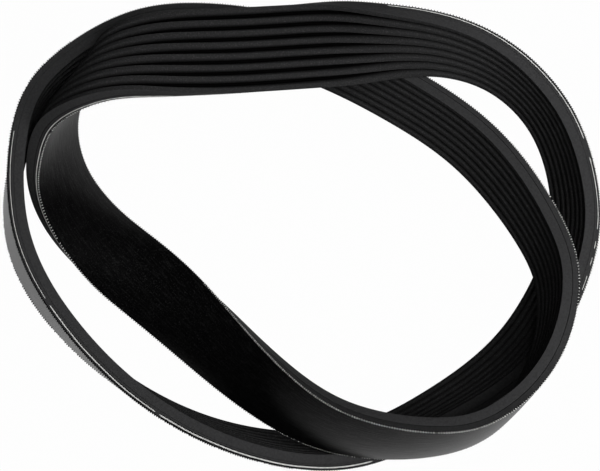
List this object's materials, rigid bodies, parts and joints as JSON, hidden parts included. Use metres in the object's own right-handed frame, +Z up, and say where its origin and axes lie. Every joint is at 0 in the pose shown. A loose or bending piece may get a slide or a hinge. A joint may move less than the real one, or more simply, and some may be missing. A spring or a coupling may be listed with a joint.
{
  "type": "serpentine belt",
  "caption": "Closed multi-rib rubber drive belt with a smooth corded back, lying loose and turned over on itself into a coil of two laps.",
  "frame": {"origin": "on the surface the belt lies on, under the middle of its outline seen from above", "axes": "+Z up, square to the surface; +X along the coil's longer span; +Y across it, toward the far side where the wide ribbed run crosses"},
  "size_m": [0.1974, 0.153, 0.0561],
  "materials": {
    "belt_rubber": "matt black rubber, ribs lightly speckled, back fine-grained along its length"
  },
  "bodies": {
    "root": {"serpentine_belt": "belt_rubber"}
  },
  "joints": []
}
